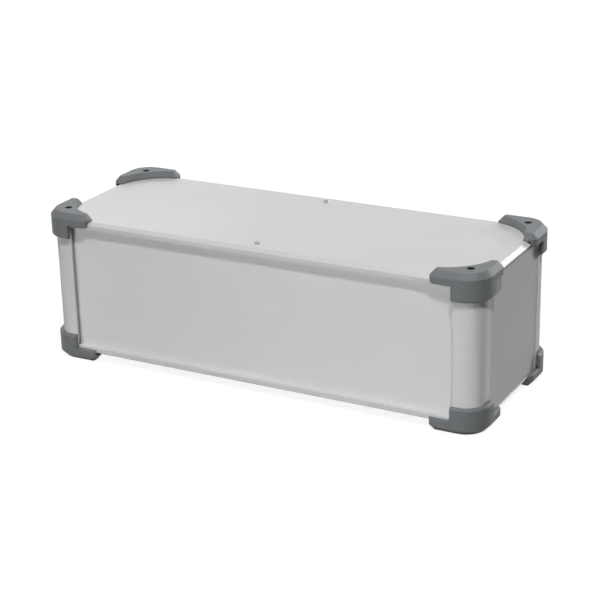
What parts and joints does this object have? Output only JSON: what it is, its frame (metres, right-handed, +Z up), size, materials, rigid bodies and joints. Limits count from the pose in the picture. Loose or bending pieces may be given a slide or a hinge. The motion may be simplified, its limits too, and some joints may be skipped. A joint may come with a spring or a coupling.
{
  "type": "instrument enclosure",
  "caption": "Long low aluminium instrument enclosure with bevelled covers, recessed front panel, rounded corner posts and grey moulded corner guards it stands on.",
  "frame": {"origin": "middle of the footprint, on the surface that the lower guards stand on", "axes": "+X along the length, +Z up, the front panel faces -Y"},
  "size_m": [0.48, 0.184, 0.158],
  "materials": {
    "cover_aluminium": "satin anodised",
    "panel_aluminium": "satin anodised",
    "post_aluminium": "satin anodised extrusion",
    "guard_plastic": "fine textured moulding",
    "screw_steel": "bright plated"
  },
  "bodies": {
    "root": {"top_cover": "cover_aluminium", "bottom_cover": "cover_aluminium", "front_panel": "panel_aluminium", "rear_panel": "panel_aluminium", "left_panel": "panel_aluminium", "right_panel": "panel_aluminium", "post_front_left": "post_aluminium", "post_front_right": "post_aluminium", "post_rear_left": "post_aluminium", "post_rear_right": "post_aluminium", "guard_top_front_left": "guard_plastic", "guard_top_front_right": "guard_plastic", "guard_top_rear_left": "guard_plastic", "guard_top_rear_right": "guard_plastic", "guard_bottom_front_left": "guard_plastic", "guard_bottom_front_right": "guard_plastic", "guard_bottom_rear_left": "guard_plastic", "guard_bottom_rear_right": "guard_plastic", "pillar_front": "post_aluminium", "pillar_rear": "post_aluminium", "guard_screws_top": "screw_steel", "guard_screws_bottom": "screw_steel", "cover_screws_top": "screw_steel", "cover_screws_bottom": "screw_steel"}
  },
  "joints": []
}
